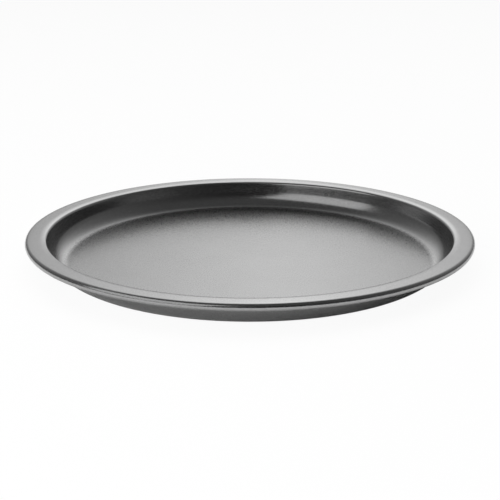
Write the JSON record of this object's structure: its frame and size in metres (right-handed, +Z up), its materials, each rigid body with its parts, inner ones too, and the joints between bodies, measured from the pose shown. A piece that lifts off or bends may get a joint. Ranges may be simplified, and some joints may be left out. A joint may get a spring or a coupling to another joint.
{
  "type": "pizza pan",
  "caption": "Round shallow pizza pan of coated pressed steel, with a coved wall and a flat flange whose edge is rolled under round a wire.",
  "frame": {"origin": "centre of the floor's underside, on the surface that the pan stands on", "axes": "+Z up along the pan's axis of revolution; +X and +Y in the plane of the floor"},
  "size_m": [0.3699, 0.37, 0.0243],
  "materials": {
    "nonstick_coating": "matt dark grey non-stick coating with a fine metallic grain on pressed steel",
    "steel_wire": "drawn steel wire, bare"
  },
  "bodies": {
    "root": {"pan_shell": "nonstick_coating", "rim_wire": "steel_wire"}
  },
  "joints": []
}
